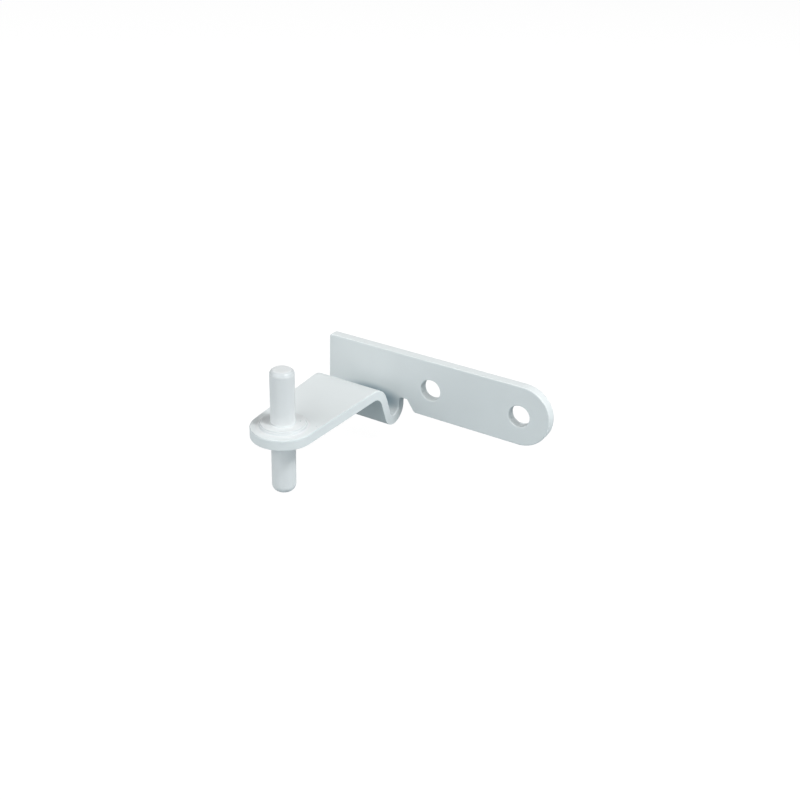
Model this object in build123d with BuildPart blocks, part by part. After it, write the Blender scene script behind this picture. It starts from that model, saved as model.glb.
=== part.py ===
from build123d import *
import math
import os

# Refrigerator door hinge: one folded sheet steel bracket that carries one turned pin.
# The origin is on the pin's axis, at the top face of the collar, where the door's bush sits.
# Z goes up along the pin, X along the plate to its round end, and Y back to the cabinet.

# The sheet with its coat, and the rounding that the punch and the coat leave on its edges
sheet = 3.1
punch_rounding = 0.35         # on the plate's front and the arm's top, where the punch goes in
edge_rounding = 0.15          # on the other side of the sheet

# The plate that is screwed to the cabinet
plate_reach = 46.4            # from the pin's axis back to the plate's front face
plate_left = -16.9
plate_length = 77.5
plate_rise = 7.85             # from the arm's top face up to the plate's top edge
plate_height = 18.9
plate_corner_radius = 1.0

# Two screw holes, just below the plate's middle line
hole_diameter = 6.7
hole_spacing = 30.0
hole_from_tip = 9.8
hole_drop = 0.2

# The strip that is folded out of the plate's lower edge and runs out as the arm
nose_radius = 9.35
root_left = -14.7             # where its two straight sides start, at the plate's rear face
root_right = 9.7

# The notch beside the strip, which lets the fold start below the plate's lower edge
relief_height = 3.8
relief_width = 2.85           # at its top
relief_splay = 36.0           # lean of its outer side, degrees from upright
relief_rounding = 1.1
shoulder_height = 2.8         # the hidden step on the strip's other side

# The folds, from the plate to the arm
bend_start = 0.9              # from the plate's lower edge up to where the U starts
u_bend_radius = 2.3           # inside radius of the narrow U under the plate
leg_lean = 22.0               # degrees that the leg leans forward from upright
top_bend_radius = 4.7         # inside radius of the bend between leg and arm

# The hinge pin
pin_diameter = 7.0
pin_above_collar = 16.2
pin_below_arm = 17.8
pin_top_rounding = 1.5
pin_foot_rounding = 2.2
seat_diameter = 7.6           # the hidden stretch that is pressed into the arm
collar_diameter = 13.0
collar_height = 1.1
collar_rounding = 0.4
collar_root = 0.4             # the fillet between the collar and the pin

# Places that follow from the sizes above
arm_top = -collar_height
arm_middle = arm_top - sheet / 2
arm_underside = arm_top - sheet
plate_top = arm_top + plate_rise
plate_bottom = plate_top - plate_height
plate_right = plate_left + plate_length
plate_rear = plate_reach + sheet
plate_middle = (plate_top + plate_bottom) / 2
end_radius = plate_height / 2
outer_hole = plate_right - hole_from_tip
hole_line = plate_middle - hole_drop
relief_top = plate_bottom + relief_height
relief_corner = root_right + relief_width
relief_foot = relief_corner + relief_height * math.tan(math.radians(relief_splay))
shoulder = plate_bottom + shoulder_height
u_bend_centre = plate_bottom + bend_start
strip_bottom = u_bend_centre - u_bend_radius - sheet
pin_radius = pin_diameter / 2
seat_radius = seat_diameter / 2
collar_radius = collar_diameter / 2
pin_foot = arm_underside - pin_below_arm

# The leg is as long as it must be to bring the arm up to the collar
u_middle_radius = u_bend_radius + sheet / 2
top_middle_radius = top_bend_radius + sheet / 2
lean = math.radians(leg_lean)
both_radii = u_middle_radius + top_middle_radius
leg_rise = arm_middle - top_middle_radius - u_bend_centre
leg_length = (leg_rise + both_radii * math.sin(lean)) / math.cos(lean)


def nose_tangent(x, y, turn):
    """The point where a line from (x, y) touches the round nose, on its left (1) or right (-1)."""
    angle = math.atan2(y, x) + turn * math.acos(nose_radius / math.hypot(x, y))
    return nose_radius * math.cos(angle), nose_radius * math.sin(angle)


def is_sharp(edge):
    """Whether the two faces beside an edge of the bracket meet at a corner, not smoothly."""
    beside = [face for face in bracket.faces() if edge in face.edges()]
    normals = [face.normal_at(edge @ 0.5) for face in beside]
    return len(normals) == 2 and abs(normals[0].dot(normals[1])) < 0.9


# The bracket: plate, U-bend, leaning leg, top bend and arm are one sheet of steel
with BuildPart() as bracket:
    # The folds, drawn on the middle of the sheet from the plate to the tip of the nose
    with BuildSketch(Plane.YZ.offset(root_left)):
        with BuildLine():
            plate_foot = Line(
                (plate_reach + sheet / 2, relief_top),
                (plate_reach + sheet / 2, u_bend_centre),
            )
            u_bend = JernArc(
                start=plate_foot @ 1,
                tangent=plate_foot % 1,
                radius=u_middle_radius,
                arc_size=-(180 - leg_lean),
            )
            leg = PolarLine(start=u_bend @ 1, length=leg_length, angle=90 + leg_lean)
            top_bend = JernArc(
                start=leg @ 1,
                tangent=leg % 1,
                radius=top_middle_radius,
                arc_size=90 - leg_lean,
            )
            Line(top_bend @ 1, (-nose_radius, arm_middle))
        trace(line_width=sheet)
    extrude(amount=root_right - root_left)

    # The strip's outline from above: two straight sides that run on to the round nose
    with BuildSketch(Plane.XY.offset(strip_bottom)):
        with BuildLine():
            left_side = Line((root_left, plate_rear), nose_tangent(root_left, plate_rear, 1))
            right_side = Line((root_right, plate_rear), nose_tangent(root_right, plate_rear, -1))
            ThreePointArc(left_side @ 1, (0, -nose_radius), right_side @ 1)
            Line(left_side @ 0, right_side @ 0)
        make_face()
    extrude(amount=plate_top - strip_bottom, mode=Mode.INTERSECT)

    # The plate: a round end, two holes, the relief notch and the hidden shoulder
    with BuildSketch(Plane.XZ.offset(-plate_reach)) as plate:
        with BuildLine():
            top_edge = Line((plate_left, plate_top), (plate_right - end_radius, plate_top))
            round_end = JernArc(
                start=top_edge @ 1,
                tangent=(1, 0),
                radius=end_radius,
                arc_size=-180,
            )
            Polyline(
                round_end @ 1,
                (relief_foot, plate_bottom),
                (relief_corner, relief_top),
                (0, relief_top),
                (0, shoulder),
                (plate_left, shoulder),
                (plate_left, plate_top),
            )
        make_face()
        fillet(plate.vertices().group_by(Axis.X)[0], radius=plate_corner_radius)
        relief_side = plate.vertices().filter_by_position(Axis.X, relief_corner, relief_foot)
        fillet(relief_side, radius=relief_rounding)
        with Locations((outer_hole, hole_line), (outer_hole - hole_spacing, hole_line)):
            Circle(radius=hole_diameter / 2, mode=Mode.SUBTRACT)
    extrude(amount=-sheet)

    # The inner corners beside the strip are a little round, and so is every edge of the sheet,
    # more on the punch's side: one outline that runs round the plate's front and the arm's top
    strip_corners = (
        bracket.edges()
        .filter_by(lambda edge: abs((edge % 0.5).Y) > 0.9)
        .filter_by_position(Axis.X, root_left, relief_corner - relief_rounding)
        .filter_by_position(Axis.Z, shoulder - edge_rounding, relief_top + edge_rounding)
    )
    fillet(strip_corners, radius=relief_rounding)
    plate_front = (plate_reach - edge_rounding, plate_reach + edge_rounding)
    punched_edges = bracket.edges().filter_by(is_sharp).filter_by_position(Axis.Y, *plate_front)
    fillet(punched_edges, radius=punch_rounding)
    other_edges = bracket.edges().filter_by(is_sharp)
    fillet(other_edges, radius=edge_rounding)

    # The bore that the pin's seat is pressed into keeps its sharp edges
    with BuildSketch(Plane.XY.offset(arm_top)):
        Circle(radius=seat_radius)
    extrude(amount=-sheet, mode=Mode.SUBTRACT)


# The pin: one turned piece, with a low collar that sits on the arm around the bore
with BuildPart() as hinge_pin:
    with BuildSketch(Plane.XZ) as half_profile:
        foot_corner = (pin_radius, pin_foot)
        collar_corner = (collar_radius, 0)
        root_corner = (pin_radius, 0)
        top_corner = (pin_radius, pin_above_collar)
        with BuildLine():
            Polyline(
                (0, pin_foot),
                foot_corner,
                (pin_radius, arm_underside),
                (seat_radius, arm_underside),
                (seat_radius, arm_top),
                (collar_radius, arm_top),
                collar_corner,
                root_corner,
                top_corner,
                (0, pin_above_collar),
                close=True,
            )
        make_face()
        for corner, rounding in (
            (foot_corner, pin_foot_rounding),
            (collar_corner, collar_rounding),
            (root_corner, collar_root),
            (top_corner, pin_top_rounding),
        ):
            nearest = half_profile.vertices().sort_by_distance(corner)[0]
            fillet(nearest, radius=rounding)
    revolve(axis=Axis.Z)


os.makedirs("parts", exist_ok=True)
bracket.part.label = "bracket"
hinge_pin.part.label = "hinge_pin"
export_step(bracket.part, "parts/bracket.step")
export_step(hinge_pin.part, "parts/hinge_pin.step")
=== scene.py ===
import math
import bmesh
import bpy
from mathutils import Matrix, Vector


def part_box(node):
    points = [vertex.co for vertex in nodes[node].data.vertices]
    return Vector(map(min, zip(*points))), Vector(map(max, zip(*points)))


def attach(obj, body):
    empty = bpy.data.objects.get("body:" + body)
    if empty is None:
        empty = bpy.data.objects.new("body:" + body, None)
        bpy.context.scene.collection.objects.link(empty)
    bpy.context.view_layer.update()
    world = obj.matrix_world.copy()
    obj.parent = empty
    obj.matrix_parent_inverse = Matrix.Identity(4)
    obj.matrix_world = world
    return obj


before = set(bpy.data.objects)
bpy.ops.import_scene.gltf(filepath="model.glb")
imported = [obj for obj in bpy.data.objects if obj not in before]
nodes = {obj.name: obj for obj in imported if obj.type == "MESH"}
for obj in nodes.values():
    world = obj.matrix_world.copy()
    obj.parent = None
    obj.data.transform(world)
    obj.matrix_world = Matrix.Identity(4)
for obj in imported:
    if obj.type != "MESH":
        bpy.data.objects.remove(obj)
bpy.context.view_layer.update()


# The bracket: a blank punched from 3 mm steel sheet and folded over a narrow U into an arm.
# It is powder coated white and baked once the pin is in it, so one coat runs over both.
def linear_colour(hex_value):
    """An sRGB hex value as the linear colour that Blender takes."""
    parts = [int(hex_value[i:i + 2], 16) / 255 for i in (1, 3, 5)]
    return (*(p / 12.92 if p <= 0.04045 else ((p + 0.055) / 1.055) ** 2.4 for p in parts), 1.0)


def add_node(tree, kind, inputs=(), **settings):
    """Adds a node with its settings, and sets or links its inputs."""
    node = tree.nodes.new(kind)
    for name, value in settings.items():
        setattr(node, name, value)
    for key, value in dict(inputs).items():
        if isinstance(value, bpy.types.NodeSocket):
            tree.links.new(value, node.inputs[key])
        else:
            node.inputs[key].default_value = value
    return node


def new_material(name):
    """An empty node material of that name."""
    material = bpy.data.materials.new(name)
    material.use_nodes = True
    material.node_tree.nodes.clear()
    return material


# Polyester powder, sprayed on and melted: cool white, satin, closed like thick paint. It gives
# the eye a soft broad sheen, a slight orange peel, and a tone that drifts with its thickness.
COAT_IOR = 1.43                  # polyester has about 1.5, and the object shines a little less
COAT_ROUGHNESS = (0.37, 0.45)    # where the coat is thin, and where it is thick
DRIFT_WIDTH = 0.014              # metres between thick and thin places of the coat
DRIFT_DETAIL = 3.0
DRIFT_ENDS = (0.35, 0.65)        # the drift's noise seldom goes past these two values
PEEL_WIDTH = 0.0017              # metres from one crest of the orange peel to the next
PEEL_DETAIL = 1.0
PEEL_HEIGHT = 0.000016           # drawn twice as high as real, or it wouldn't show
GRIT_WIDTH = 0.00035             # the powder's own grain, drawn coarser than its 0.05 mm
GRIT_DETAIL = 2.0
GRIT_HEIGHT = 0.0000012
# The starved place is a painted shade in the fold, not thin powder; below is the share of its
# reach that has its full shade
PAINTED_RECESS_SHADE_CORE = 0.35              # the share of a starved place's reach that has its full tone
RIM_BEGINS = (0.1, 0.55)         # how far a rim's surface faces up: 0 is upright, 1 is level
RIM_STOPS = (0.8, 0.99)


def powder_coat(name, tones, offset=(0.0, 0.0, 0.0), painted_recess_shade=None, painted_rim_shade_and_gloss=None):
    """Satin powder coat between its tone where thin and where thick.

    offset moves its pattern, so that two pieces differ. starved, when given, is a painted shade
    in a recess that little light reaches: its centre, its reach along X and across, the two
    depths in Y between which it ends, and its tone. rims is the painted shade and the roughness
    of the coat where a rounded rim faces half upwards, and the two depths in Y between which it
    ends.
    """
    material = new_material(name)
    tree = material.node_tree
    where = add_node(tree, "ShaderNodeTexCoord")
    depth = add_node(tree, "ShaderNodeSeparateXYZ", {"Vector": where.outputs["Object"]})
    moved = add_node(
        tree, "ShaderNodeMapping", {"Vector": where.outputs["Object"], "Location": offset}
    )
    drift, peel, grit = (
        add_node(
            tree,
            "ShaderNodeTexNoise",
            {"Vector": moved.outputs["Vector"], "Scale": 1 / width, "Detail": detail},
        ).outputs["Fac"]
        for width, detail in (
            (DRIFT_WIDTH, DRIFT_DETAIL),
            (PEEL_WIDTH, PEEL_DETAIL),
            (GRIT_WIDTH, GRIT_DETAIL),
        )
    )

    # The coat's thickness drifts over the piece, and takes its tone and its sheen along
    colour = add_node(
        tree,
        "ShaderNodeMix",
        {0: drift, 6: linear_colour(tones[0]), 7: linear_colour(tones[1])},
        data_type="RGBA",
    ).outputs[2]
    roughness = add_node(
        tree,
        "ShaderNodeMapRange",
        {
            "Value": drift,
            "From Min": DRIFT_ENDS[0],
            "From Max": DRIFT_ENDS[1],
            "To Min": COAT_ROUGHNESS[0],
            "To Max": COAT_ROUGHNESS[1],
        },
    ).outputs["Result"]

    # The painted shade in the recess is a flat oval ball that fades outwards and ends inside
    # the sheet
    if painted_recess_shade:
        centre, reach_along, reach_across, end_depths, painted_recess_shade_tone = painted_recess_shade
        scale = (1 / reach_along, 1 / reach_across, 1 / reach_across)
        from_centre = add_node(
            tree,
            "ShaderNodeMapping",
            {
                "Vector": where.outputs["Object"],
                "Location": tuple(-c * s for c, s in zip(centre, scale)),
                "Scale": scale,
            },
        )
        distance = add_node(
            tree, "ShaderNodeVectorMath", {0: from_centre.outputs["Vector"]}, operation="LENGTH"
        )
        painted_recess_shade_fade = add_node(
            tree,
            "ShaderNodeMapRange",
            {
                "Value": distance.outputs["Value"],
                "From Min": PAINTED_RECESS_SHADE_CORE,
                "From Max": 1.0,
                "To Min": 1.0,
                "To Max": 0.0,
            },
            interpolation_type="SMOOTHSTEP",
        )
        before_end = add_node(
            tree,
            "ShaderNodeMapRange",
            {
                "Value": depth.outputs["Y"],
                "From Min": end_depths[0],
                "From Max": end_depths[1],
                "To Min": 1.0,
                "To Max": 0.0,
            },
        )
        painted_recess_shade_share = add_node(
            tree,
            "ShaderNodeMath",
            {0: painted_recess_shade_fade.outputs["Result"], 1: before_end.outputs["Result"]},
            operation="MULTIPLY",
        )
        colour = add_node(
            tree,
            "ShaderNodeMix",
            {0: painted_recess_shade_share.outputs["Value"], 6: colour, 7: linear_colour(painted_recess_shade_tone)},
            data_type="RGBA",
        ).outputs[2]

    # The rims are found by how far the surface faces up, and there the coat takes a painted
    # shade and a smoother sheen
    if painted_rim_shade_and_gloss:
        painted_rim_shade, rim_roughness, rim_depths = painted_rim_shade_and_gloss
        facing = add_node(tree, "ShaderNodeSeparateXYZ", {"Vector": where.outputs["Normal"]})
        past_upright = add_node(
            tree,
            "ShaderNodeMapRange",
            {
                "Value": facing.outputs["Z"],
                "From Min": RIM_BEGINS[0],
                "From Max": RIM_BEGINS[1],
            },
            interpolation_type="SMOOTHSTEP",
        )
        before_level = add_node(
            tree,
            "ShaderNodeMapRange",
            {
                "Value": facing.outputs["Z"],
                "From Min": RIM_STOPS[0],
                "From Max": RIM_STOPS[1],
                "To Min": 1.0,
                "To Max": 0.0,
            },
            interpolation_type="SMOOTHSTEP",
        )
        half_up = add_node(
            tree,
            "ShaderNodeMath",
            {0: past_upright.outputs["Result"], 1: before_level.outputs["Result"]},
            operation="MULTIPLY",
        )
        before_bend = add_node(
            tree,
            "ShaderNodeMapRange",
            {
                "Value": depth.outputs["Y"],
                "From Min": rim_depths[0],
                "From Max": rim_depths[1],
                "To Min": 1.0,
                "To Max": 0.0,
            },
        )
        painted_rim_shade_share = add_node(
            tree,
            "ShaderNodeMath",
            {0: half_up.outputs["Value"], 1: before_bend.outputs["Result"]},
            operation="MULTIPLY",
        ).outputs["Value"]
        colour = add_node(
            tree,
            "ShaderNodeMix",
            {0: painted_rim_shade_share, 6: colour, 7: linear_colour(painted_rim_shade)},
            data_type="RGBA",
        ).outputs[2]
        roughness = add_node(
            tree, "ShaderNodeMix", {0: painted_rim_shade_share, 2: roughness, 3: rim_roughness}
        ).outputs[0]

    waves = add_node(tree, "ShaderNodeBump", {"Height": peel, "Distance": PEEL_HEIGHT})
    grains = add_node(
        tree,
        "ShaderNodeBump",
        {"Height": grit, "Distance": GRIT_HEIGHT, "Normal": waves.outputs["Normal"]},
    )
    shader = add_node(
        tree,
        "ShaderNodeBsdfPrincipled",
        {
            "Base Color": colour,
            "Roughness": roughness,
            "IOR": COAT_IOR,
            "Normal": grains.outputs["Normal"],
        },
    )
    add_node(tree, "ShaderNodeOutputMaterial", {"Surface": shader.outputs["BSDF"]})
    return material


BRACKET_TONES = ("#DBE1E2", "#E1E7E8")

# The narrow U is toned darker, a painted shade for the fold that little light reaches. The
# plate's rear face is left out of it.
FOLD_CENTRE = (0.0002, 0.0465, -0.0101)
FOLD_REACH_ALONG = 0.0135
FOLD_REACH_ACROSS = 0.0047
FOLD_END_DEPTHS = (0.0466, 0.0482)   # from just behind the plate's front face into the sheet
FOLD_PAINTED_SHADE = "#9AABB4"

# On rims that face half up the coat is toned greyer, a painted shade, and is smoother
ARM_RIM_PAINTED_SHADE = "#CCD4D6"
RIM_ROUGHNESS = 0.21
RIM_END_DEPTHS = (0.024, 0.033)  # from the arm's flat part to where the sheet bends down
bracket_coat = powder_coat(
    "satin_white_powder_coat_on_sheet",
    BRACKET_TONES,
    painted_recess_shade=(FOLD_CENTRE, FOLD_REACH_ALONG, FOLD_REACH_ACROSS, FOLD_END_DEPTHS, FOLD_PAINTED_SHADE),
    painted_rim_shade_and_gloss=(ARM_RIM_PAINTED_SHADE, RIM_ROUGHNESS, RIM_END_DEPTHS),
)
bracket = nodes["bracket"]
bracket.data.materials.clear()
bracket.data.materials.append(bracket_coat)


# The hinge pin: turned from round bar with a low collar, pressed into the arm, and coated
# over together with it. Its coat is toned a little greyer than the sheet's, a painted shade
# that evens the two pieces under the lamps, and its rounded rims take a painted shade as well.
PIN_TONES = ("#D9DDDE", "#DFE3E4")
PIN_RIM_PAINTED_SHADE = "#CBD1D3"
PIN_PATTERN_OFFSET = (0.031, 0.017, 0.053)
pin_coat = powder_coat(
    "satin_white_powder_coat_on_bar",
    PIN_TONES,
    offset=PIN_PATTERN_OFFSET,
    painted_rim_shade_and_gloss=(PIN_RIM_PAINTED_SHADE, RIM_ROUGHNESS, RIM_END_DEPTHS),
)
hinge_pin = nodes["hinge_pin"]
hinge_pin.data.materials.clear()
hinge_pin.data.materials.append(pin_coat)


# The beads of coat: melted powder gathers in the corners where the pin rises from its collar,
# where the collar sits on the arm, and where the pin comes out below. Each is a thin ring with
# a hollow face, of the same coat as the pin, and a little uneven along its way.
BEAD_STEPS_ROUND = 128
BEAD_STEPS_UP = 8
BEAD_SINK = 0.00005              # how far a bead's hidden corner goes into the steel
BEAD_WAVE = 0.005                # metres from a thick place along a bead to a thin one
BEAD_WAVE_DETAIL = 1.0
BEAD_WAVE_ENDS = (0.3, 0.7)      # the wave's noise seldom goes past these two values
BEAD_UNEVENNESS = 0.12           # how much thicker or thinner than its own size
BEAD_MERGE = 1e-7                # metres, under which two points are one
SHARP_ANGLE = math.radians(50)   # past which an edge is shaded sharp


def new_tree(name, inputs):
    """An empty Geometry Nodes tree with those named inputs and one output."""
    tree = bpy.data.node_groups.new(name, "GeometryNodeTree")
    tree.interface.new_socket("Geometry", in_out="OUTPUT", socket_type="NodeSocketGeometry")
    for socket_name, kind in inputs:
        tree.interface.new_socket(socket_name, in_out="INPUT", socket_type=kind)
    return tree


def end_tree(tree, geometry, material):
    """Ends a tree in real faces, shaded smooth, with their material."""
    smooth = add_node(tree, "GeometryNodeSetShadeSmooth", {"Geometry": geometry})
    real = add_node(
        tree, "GeometryNodeRealizeInstances", {"Geometry": smooth.outputs["Geometry"]}
    )
    coated = add_node(
        tree,
        "GeometryNodeSetMaterial",
        {"Geometry": real.outputs["Geometry"], "Material": material},
    )
    add_node(tree, "NodeGroupOutput", {"Geometry": coated.outputs["Geometry"]})


def grow(name, tree, values, start_mesh=None):
    """A new object with the plain mesh that a tree makes from these values."""
    grown = bpy.data.objects.new(name, start_mesh or bpy.data.meshes.new(name))
    bpy.context.scene.collection.objects.link(grown)
    modifier = grown.modifiers.new(name, "NODES")
    modifier.node_group = tree
    for socket in tree.interface.items_tree:
        if socket.in_out == "INPUT" and socket.name in values:
            modifier[socket.identifier] = values[socket.name]
    bpy.context.view_layer.update()
    evaluated = grown.evaluated_get(bpy.context.evaluated_depsgraph_get())
    mesh = bpy.data.meshes.new_from_object(evaluated)
    grown.modifiers.remove(modifier)
    mesh.name = name
    mesh.materials.clear()
    mesh.materials.append(values["Coat"])
    mesh.polygons.foreach_set("material_index", [0] * len(mesh.polygons))
    grown.data = mesh
    return grown


bead_tree = new_tree(
    "coat_bead",
    (
        ("Corner Radius", "NodeSocketFloat"),
        ("Corner Height", "NodeSocketFloat"),
        ("Bead Out", "NodeSocketFloat"),
        ("Bead Up", "NodeSocketFloat"),
        ("Unevenness", "NodeSocketFloat"),
        ("Seed", "NodeSocketFloat"),
        ("Coat", "NodeSocketMaterial"),
    ),
)
bead_inputs = add_node(bead_tree, "NodeGroupInput").outputs
ring = add_node(
    bead_tree,
    "GeometryNodeCurvePrimitiveCircle",
    {"Resolution": BEAD_STEPS_ROUND, "Radius": bead_inputs["Corner Radius"]},
)
lift = add_node(bead_tree, "ShaderNodeCombineXYZ", {"Z": bead_inputs["Corner Height"]})
corner_ring = add_node(
    bead_tree,
    "GeometryNodeTransform",
    {"Geometry": ring.outputs["Curve"], "Translation": lift.outputs["Vector"]},
)

# The hollow face is a quarter round seen from outside, and the last point closes it in the
# steel. On a ring drawn this way round, the profile's Y points down.
step = add_node(bead_tree, "GeometryNodeInputIndex").outputs["Index"]
way_up = add_node(
    bead_tree, "ShaderNodeMath", {0: step, 1: BEAD_STEPS_UP}, operation="DIVIDE", use_clamp=True
)
turn = add_node(
    bead_tree,
    "ShaderNodeMath",
    {0: way_up.outputs["Value"], 1: math.pi / 2},
    operation="MULTIPLY",
).outputs["Value"]
sine = add_node(bead_tree, "ShaderNodeMath", {0: turn}, operation="SINE")
cosine = add_node(bead_tree, "ShaderNodeMath", {0: turn}, operation="COSINE")
share_out = add_node(
    bead_tree, "ShaderNodeMath", {0: 1.0, 1: sine.outputs["Value"]}, operation="SUBTRACT"
)
share_down = add_node(
    bead_tree, "ShaderNodeMath", {0: cosine.outputs["Value"], 1: 1.0}, operation="SUBTRACT"
)
face_out = add_node(
    bead_tree,
    "ShaderNodeMath",
    {0: bead_inputs["Bead Out"], 1: share_out.outputs["Value"]},
    operation="MULTIPLY",
)
face_down = add_node(
    bead_tree,
    "ShaderNodeMath",
    {0: bead_inputs["Bead Up"], 1: share_down.outputs["Value"]},
    operation="MULTIPLY",
)
on_face = add_node(
    bead_tree,
    "ShaderNodeCombineXYZ",
    {"X": face_out.outputs["Value"], "Y": face_down.outputs["Value"]},
)
is_last = add_node(
    bead_tree,
    "ShaderNodeMath",
    {0: step, 1: BEAD_STEPS_UP + 0.5},
    operation="GREATER_THAN",
)
profile_place = add_node(
    bead_tree,
    "GeometryNodeSwitch",
    {
        "Switch": is_last.outputs["Value"],
        "False": on_face.outputs["Vector"],
        "True": (-BEAD_SINK, BEAD_SINK, 0.0),
    },
    input_type="VECTOR",
)
points = add_node(bead_tree, "GeometryNodeMeshLine", {"Count": BEAD_STEPS_UP + 2})
placed = add_node(
    bead_tree,
    "GeometryNodeSetPosition",
    {"Geometry": points.outputs["Mesh"], "Position": profile_place.outputs["Output"]},
)
open_profile = add_node(bead_tree, "GeometryNodeMeshToCurve", {0: placed.outputs["Geometry"]})
profile = add_node(
    bead_tree,
    "GeometryNodeSetSplineCyclic",
    {"Geometry": open_profile.outputs["Curve"], "Cyclic": True},
)
along = add_node(bead_tree, "GeometryNodeInputPosition").outputs["Position"]
wave = add_node(
    bead_tree,
    "ShaderNodeTexNoise",
    {
        "Vector": along,
        "W": bead_inputs["Seed"],
        "Scale": 1 / BEAD_WAVE,
        "Detail": BEAD_WAVE_DETAIL,
    },
    noise_dimensions="4D",
)
thinnest = add_node(
    bead_tree, "ShaderNodeMath", {0: 1.0, 1: bead_inputs["Unevenness"]}, operation="SUBTRACT"
)
thickest = add_node(
    bead_tree, "ShaderNodeMath", {0: 1.0, 1: bead_inputs["Unevenness"]}, operation="ADD"
)
swell = add_node(
    bead_tree,
    "ShaderNodeMapRange",
    {
        "Value": wave.outputs[0],
        "From Min": BEAD_WAVE_ENDS[0],
        "From Max": BEAD_WAVE_ENDS[1],
        "To Min": thinnest.outputs["Value"],
        "To Max": thickest.outputs["Value"],
    },
)
bead = add_node(
    bead_tree,
    "GeometryNodeCurveToMesh",
    {
        "Curve": corner_ring.outputs["Geometry"],
        "Profile Curve": profile.outputs["Geometry"],
        "Scale": swell.outputs["Result"],
    },
)
end_tree(bead_tree, bead.outputs["Mesh"], bead_inputs["Coat"])

COLLAR_RADIUS = 0.0065
PIN_RADIUS = 0.0035
COLLAR_TOP = 0.0
ARM_TOP = -0.0011
ARM_UNDERSIDE = -0.0042
BEADS = (
    # name, radius and height of its corner, reach out and up in metres, seed
    ("coat_bead_round_collar", COLLAR_RADIUS, ARM_TOP, 0.0012, 0.00065, 1.0),
    ("coat_bead_at_pin_foot", PIN_RADIUS, COLLAR_TOP, 0.0004, 0.0004, 2.0),
    ("coat_bead_under_arm", PIN_RADIUS, ARM_UNDERSIDE, 0.0006, -0.0006, 3.0),
)
for name, radius, height, out, up, seed in BEADS:
    coat_bead = grow(
        name,
        bead_tree,
        {
            "Corner Radius": radius,
            "Corner Height": height,
            "Bead Out": out,
            "Bead Up": up,
            "Unevenness": BEAD_UNEVENNESS,
            "Seed": seed,
            "Coat": pin_coat,
        },
    )
    shell = bmesh.new()
    shell.from_mesh(coat_bead.data)
    bmesh.ops.remove_doubles(shell, verts=shell.verts, dist=BEAD_MERGE)
    bmesh.ops.recalc_face_normals(shell, faces=shell.faces)
    shell.to_mesh(coat_bead.data)
    shell.free()
    coat_bead.data.set_sharp_from_angle(angle=SHARP_ANGLE)
    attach(coat_bead, "root")


# The nibs: dust and clots of powder that were baked into the coat, low domes one or two tenths
# of a millimetre wide. They are scattered over the bracket, all but its rear face, and a few
# larger lumps sit where the eye meets them.
NIB_COUNT = 110                  # if the rear face had them too
NIB_WIDTH = (0.00008, 0.00020)
NIB_SEED = 11
NIB_FLATNESS = 0.45              # height of a dome as a share of its radius
NIB_SUBDIVISIONS = 2
SKIN_MERGE = 1e-6                # metres, under which two points of the bracket are one
PLATE_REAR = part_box("bracket")[1].y   # this face lies against the cabinet and has no nibs
nib_tree = new_tree(
    "coat_nibs",
    (
        ("Surface", "NodeSocketGeometry"),
        ("Nibs per Square Metre", "NodeSocketFloat"),
        ("Least Radius", "NodeSocketFloat"),
        ("Greatest Radius", "NodeSocketFloat"),
        ("Flatness", "NodeSocketFloat"),
        ("Clean behind", "NodeSocketFloat"),
        ("Seed", "NodeSocketInt"),
        ("Coat", "NodeSocketMaterial"),
    ),
)
nib_inputs = add_node(nib_tree, "NodeGroupInput").outputs
spot = add_node(nib_tree, "GeometryNodeInputPosition")
spot_depth = add_node(nib_tree, "ShaderNodeSeparateXYZ", {"Vector": spot.outputs["Position"]})
off_rear = add_node(
    nib_tree,
    "ShaderNodeMath",
    {0: spot_depth.outputs["Y"], 1: nib_inputs["Clean behind"]},
    operation="LESS_THAN",
)
scatter = add_node(
    nib_tree,
    "GeometryNodeDistributePointsOnFaces",
    {
        "Mesh": nib_inputs["Surface"],
        "Selection": off_rear.outputs["Value"],
        "Density": nib_inputs["Nibs per Square Metre"],
        "Seed": nib_inputs["Seed"],
    },
)
dome = add_node(
    nib_tree, "GeometryNodeMeshIcoSphere", {"Radius": 1.0, "Subdivisions": NIB_SUBDIVISIONS}
)
nib_radius = add_node(
    nib_tree,
    "FunctionNodeRandomValue",
    {
        2: nib_inputs["Least Radius"],
        3: nib_inputs["Greatest Radius"],
        "Seed": nib_inputs["Seed"],
    },
).outputs[1]
nib_height = add_node(
    nib_tree, "ShaderNodeMath", {0: nib_radius, 1: nib_inputs["Flatness"]}, operation="MULTIPLY"
)
nib_size = add_node(
    nib_tree,
    "ShaderNodeCombineXYZ",
    {"X": nib_radius, "Y": nib_radius, "Z": nib_height.outputs["Value"]},
)
nibs = add_node(
    nib_tree,
    "GeometryNodeInstanceOnPoints",
    {
        "Points": scatter.outputs["Points"],
        "Instance": dome.outputs["Mesh"],
        "Rotation": scatter.outputs["Rotation"],
        "Scale": nib_size.outputs["Vector"],
    },
)
end_tree(nib_tree, nibs.outputs["Instances"], nib_inputs["Coat"])

surface = bpy.data.meshes.new("bracket_surface")
skin = bmesh.new()
skin.from_mesh(bracket.data)
bmesh.ops.remove_doubles(skin, verts=skin.verts, dist=SKIN_MERGE)
coated_area = sum(face.calc_area() for face in skin.faces)
skin.to_mesh(surface)
skin.free()
coat_nibs = grow(
    "coat_nibs",
    nib_tree,
    {
        "Nibs per Square Metre": NIB_COUNT / coated_area,
        "Least Radius": NIB_WIDTH[0] / 2,
        "Greatest Radius": NIB_WIDTH[1] / 2,
        "Flatness": NIB_FLATNESS,
        "Clean behind": PLATE_REAR - NIB_WIDTH[1],
        "Seed": NIB_SEED,
        "Coat": bracket_coat,
    },
    surface,
)
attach(coat_nibs, "root")

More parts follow.
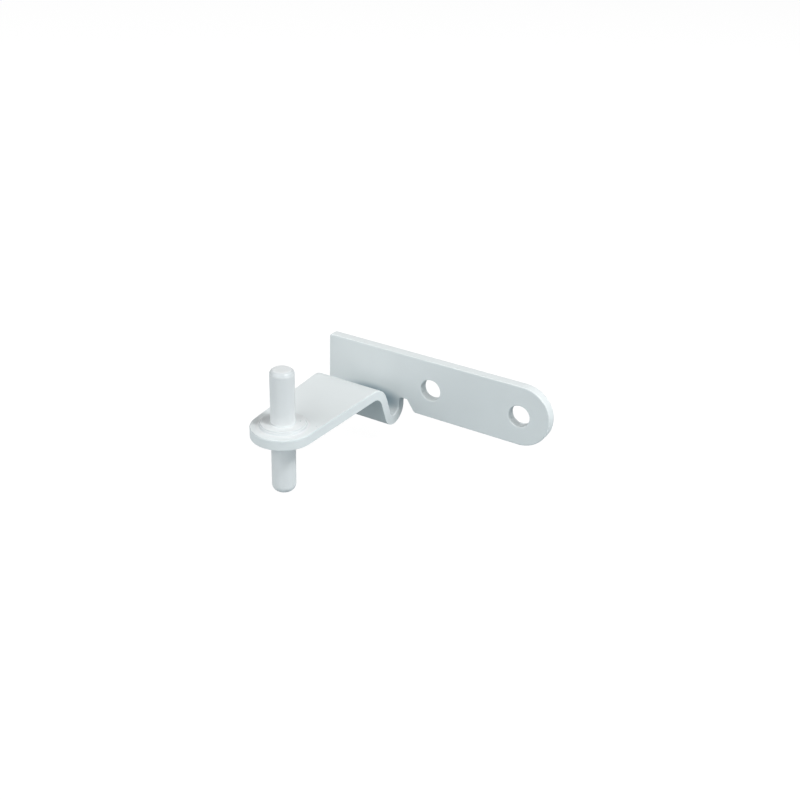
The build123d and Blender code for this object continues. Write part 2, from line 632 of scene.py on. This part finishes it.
# Larger lumps: the first three lie on the collar and the arm, and the last is a short run of
# coat down the nose's side
LUMP_SUBDIVISIONS = 3
COATS = {"bracket_coat": bracket_coat, "pin_coat": pin_coat}
LUMPS = (
    # name, coat, place, radii along X, Y and Z
    (
        "coat_lump_on_collar",
        "pin_coat",
        (0.0038, 0.0031, COLLAR_TOP),
        (0.00022, 0.00026, 0.00016),
    ),
    (
        "coat_lump_on_arm",
        "bracket_coat",
        (0.0070, 0.0006, ARM_TOP),
        (0.00024, 0.00020, 0.00010),
    ),
    (
        "coat_lump_by_arm_edge",
        "bracket_coat",
        (0.0080, 0.0049, ARM_TOP),
        (0.00020, 0.00026, 0.00010),
    ),
    (
        "coat_run_on_nose",
        "bracket_coat",
        (0.00531, -0.00769, -0.0017),
        (0.00014, 0.00014, 0.00045),
    ),
)
for name, coat_name, centre, radii in LUMPS:
    shell = bmesh.new()
    bmesh.ops.create_icosphere(shell, subdivisions=LUMP_SUBDIVISIONS, radius=1.0)
    for vertex in shell.verts:
        vertex.co = Vector(centre) + Vector(r * c for r, c in zip(radii, vertex.co))
    for face in shell.faces:
        face.smooth = True
    lump_mesh = bpy.data.meshes.new(name)
    shell.to_mesh(lump_mesh)
    shell.free()
    lump_mesh.materials.append(COATS[coat_name])
    lump = bpy.data.objects.new(name, lump_mesh)
    bpy.context.scene.collection.objects.link(lump)
    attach(lump, "root")


# The floor: one sheet of pale paper under the pin's foot. The camera sees it as bright as the
# ground of the picture, and it keeps a faint shadow of the hinge.
FLOOR_SIZE = 6.0
FLOOR_DROP = 0.0001              # below the pin's foot
FLOOR_BOUNCE = "#84949A"         # the tone in which it lights the hinge from below
FLOOR_GLOW = 0.965               # its brightness for the camera without any lamp
FLOOR_KEEPS_SHADOW = 0.09        # the share of the lamps' light that it adds to that
FLOOR_IN_GLOSS = 0.4             # how much of its glow the coat's sheen shows

floor_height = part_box("hinge_pin")[0].z - FLOOR_DROP
half_floor = FLOOR_SIZE / 2
floor_mesh = bpy.data.meshes.new("floor")
floor_mesh.from_pydata(
    [
        (-half_floor, -half_floor, floor_height),
        (half_floor, -half_floor, floor_height),
        (half_floor, half_floor, floor_height),
        (-half_floor, half_floor, floor_height),
    ],
    [],
    [(0, 1, 2, 3)],
)
floor = bpy.data.objects.new("floor", floor_mesh)
bpy.context.scene.collection.objects.link(floor)
paper = new_material("pale_paper_ground")
tree = paper.node_tree
ray = add_node(tree, "ShaderNodeLightPath")
seen = add_node(
    tree,
    "ShaderNodeMath",
    {0: ray.outputs["Is Glossy Ray"], 1: FLOOR_IN_GLOSS, 2: ray.outputs["Is Camera Ray"]},
    operation="MULTIPLY_ADD",
)
bounce = add_node(tree, "ShaderNodeBsdfDiffuse", {"Color": linear_colour(FLOOR_BOUNCE)})
shadowed = add_node(
    tree, "ShaderNodeBsdfDiffuse", {"Color": [FLOOR_KEEPS_SHADOW] * 3 + [1.0]}
)
glow = add_node(tree, "ShaderNodeEmission", {"Color": (1, 1, 1, 1), "Strength": FLOOR_GLOW})
bright = add_node(
    tree, "ShaderNodeAddShader", {0: shadowed.outputs["BSDF"], 1: glow.outputs["Emission"]}
)
ground = add_node(
    tree,
    "ShaderNodeMixShader",
    {0: seen.outputs["Value"], 1: bounce.outputs["BSDF"], 2: bright.outputs["Shader"]},
)
add_node(tree, "ShaderNodeOutputMaterial", {"Surface": ground.outputs["Shader"]})
floor_mesh.materials.append(paper)


# The studio light: a small lamp high on the right, which throws the pin's shade to the left, a
# softbox low beside it and one behind it, and a wide panel in front. Their level shows a colour
# about as it is written.
SUBJECT = Vector((0.02, 0.02, -0.003))
LAMP_DISTANCE = 1.5
LAMPS = (
    # name, degrees round from the front to the right, degrees up, size in metres, watts
    ("lamp_right_high", 93, 54, 0.32, 11.0),
    ("softbox_right_low", 86, 14, 1.0, 9.8),
    ("softbox_rear", 130, 46, 0.6, 5.0),
    ("panel_front", -21, 24, 2.2, 27.0),
)
for name, around, up, size, watts in LAMPS:
    lamp_data = bpy.data.lights.new(name, "AREA")
    lamp_data.shape = "DISK"
    lamp_data.size = size
    lamp_data.energy = watts
    lamp = bpy.data.objects.new(name, lamp_data)
    bpy.context.scene.collection.objects.link(lamp)
    turned, raised = math.radians(around), math.radians(up)
    towards = Vector((
        math.sin(turned) * math.cos(raised),
        -math.cos(turned) * math.cos(raised),
        math.sin(raised),
    ))
    lamp.location = SUBJECT + LAMP_DISTANCE * towards
    lamp.rotation_euler = towards.to_track_quat("Z", "Y").to_euler()

# The room around: white for the camera and in the coat's sheen, and almost no light of its own
ROOM_LIGHT = 0.01
room = bpy.data.worlds.new("white_room")
bpy.context.scene.world = room
room.use_nodes = True
tree = room.node_tree
tree.nodes.clear()
ray = add_node(tree, "ShaderNodeLightPath")
seen = add_node(
    tree,
    "ShaderNodeMath",
    {0: ray.outputs["Is Camera Ray"], 1: ray.outputs["Is Glossy Ray"]},
    operation="MAXIMUM",
)
level = add_node(
    tree,
    "ShaderNodeMapRange",
    {"Value": seen.outputs["Value"], "To Min": ROOM_LIGHT, "To Max": 1.0},
)
air = add_node(
    tree,
    "ShaderNodeBackground",
    {"Color": (1, 1, 1, 1), "Strength": level.outputs["Result"]},
)
add_node(tree, "ShaderNodeOutputWorld", {"Surface": air.outputs["Background"]})


# The camera: to the front right of the hinge and above it, as in the photograph, and held a
# little out of level as there.
CAMERA_PLACE = (0.1570, -0.19996, 0.13329)
CAMERA_AROUND = 30.80            # degrees from the front to the right
CAMERA_UP = 26.415
CAMERA_ROLL = 2.056
CAMERA_LENS = 45.9               # mm
CAMERA_SENSOR = 36.0             # mm
CAMERA_NEAREST = 0.01            # metres, nearer than which it sees nothing

camera_data = bpy.data.cameras.new("camera")
camera_data.lens = CAMERA_LENS
camera_data.sensor_width = CAMERA_SENSOR
camera_data.clip_start = CAMERA_NEAREST
camera = bpy.data.objects.new("camera", camera_data)
bpy.context.scene.collection.objects.link(camera)
camera.matrix_world = (
    Matrix.Translation(CAMERA_PLACE)
    @ Matrix.Rotation(math.radians(CAMERA_AROUND), 4, "Z")
    @ Matrix.Rotation(math.radians(90 - CAMERA_UP), 4, "X")
    @ Matrix.Rotation(math.radians(CAMERA_ROLL), 4, "Z")
)
bpy.context.scene.camera = camera
bpy.context.scene.view_settings.view_transform = "Standard"
